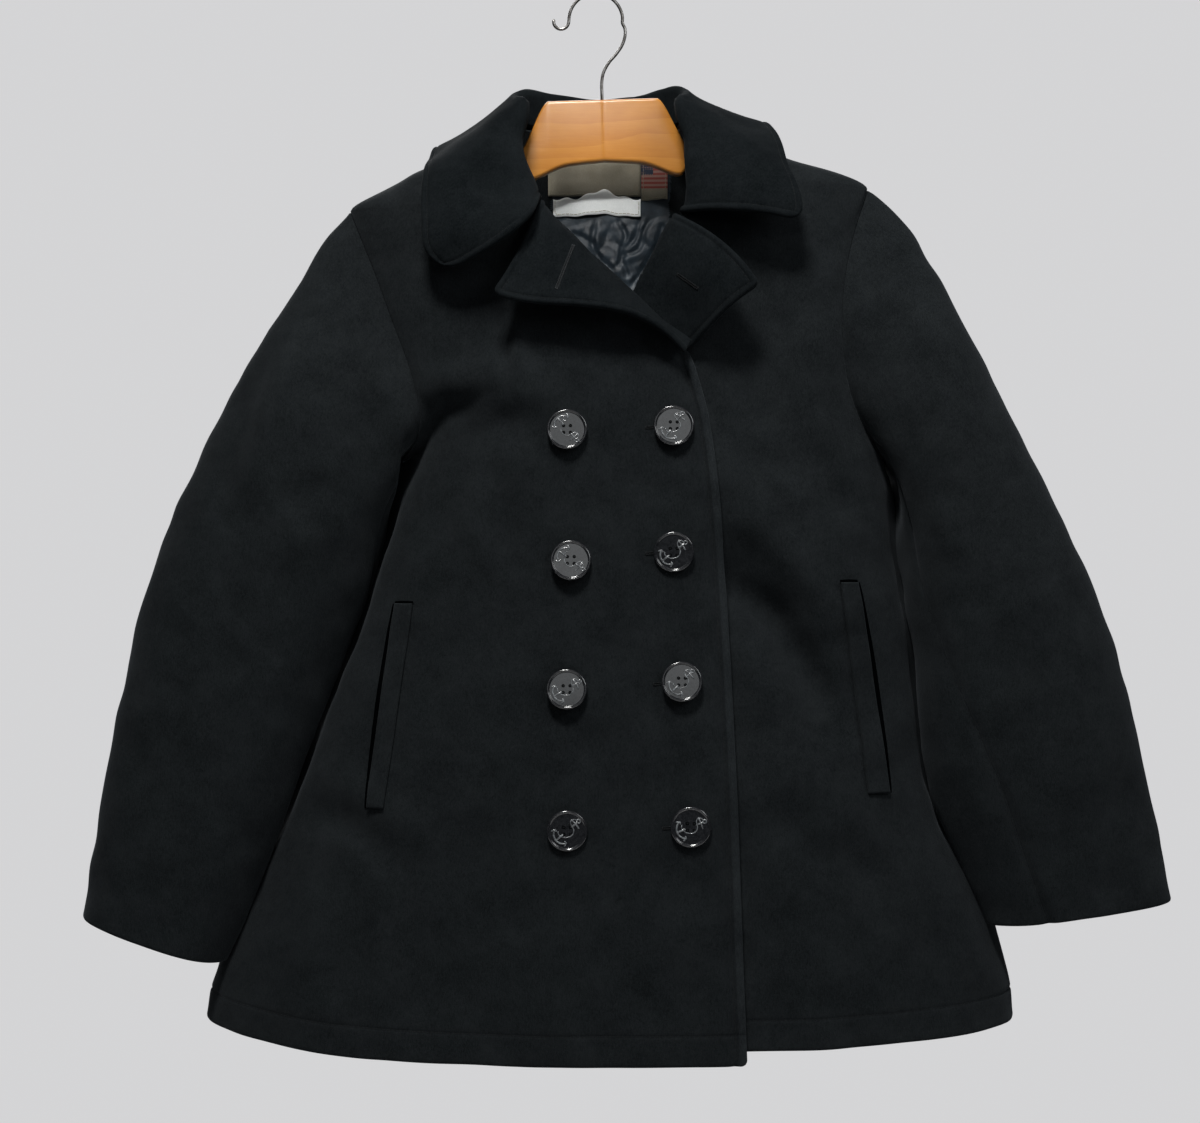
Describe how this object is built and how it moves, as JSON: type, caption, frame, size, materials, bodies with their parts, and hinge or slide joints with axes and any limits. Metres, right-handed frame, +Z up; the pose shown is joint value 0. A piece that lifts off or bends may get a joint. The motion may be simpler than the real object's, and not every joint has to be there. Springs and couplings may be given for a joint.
{
  "type": "pea coat on a wooden hanger",
  "caption": "Double-breasted wool pea coat with a wide turned-down collar and long sleeves, hanging on a wooden hanger with a wire hook.",
  "frame": {"origin": "the point under the bend of the hanger's hook, where a rail or a peg carries it", "axes": "+Z up, -Y towards the viewer of the coat's front, +X to that viewer's right, which is the wearer's left"},
  "size_m": [0.8733, 0.1805, 0.8598],
  "materials": {
    "black_melton": "thick felted wool with a soft nap",
    "quilted_satin": "satin lining, soft sheen",
    "button_black": "glossy dark plastic",
    "label_cotton": "woven label",
    "label_white": "woven label",
    "varnished_wood": "clear varnish over warm wood",
    "hook_steel": "drawn wire"
  },
  "bodies": {
    "root": {"front_right": "black_melton", "front_left": "black_melton", "back_right": "black_melton", "back_left": "black_melton", "top_sleeve_right": "black_melton", "top_sleeve_left": "black_melton", "under_sleeve_right": "black_melton", "under_sleeve_left": "black_melton", "collar": "black_melton", "lapel_right": "black_melton", "lapel_left": "black_melton", "pocket_welt_right": "black_melton", "pocket_welt_left": "black_melton", "button_a1": "button_black", "button_a2": "button_black", "button_a3": "button_black", "button_a4": "button_black", "button_b1": "button_black", "button_b2": "button_black", "button_b3": "button_black", "button_b4": "button_black", "back_lining": "quilted_satin", "neck_label": "label_cotton", "flag_label": "label_cotton", "care_label": "label_white", "hanger_board": "varnished_wood", "hanger_hook": "hook_steel"}
  },
  "joints": []
}
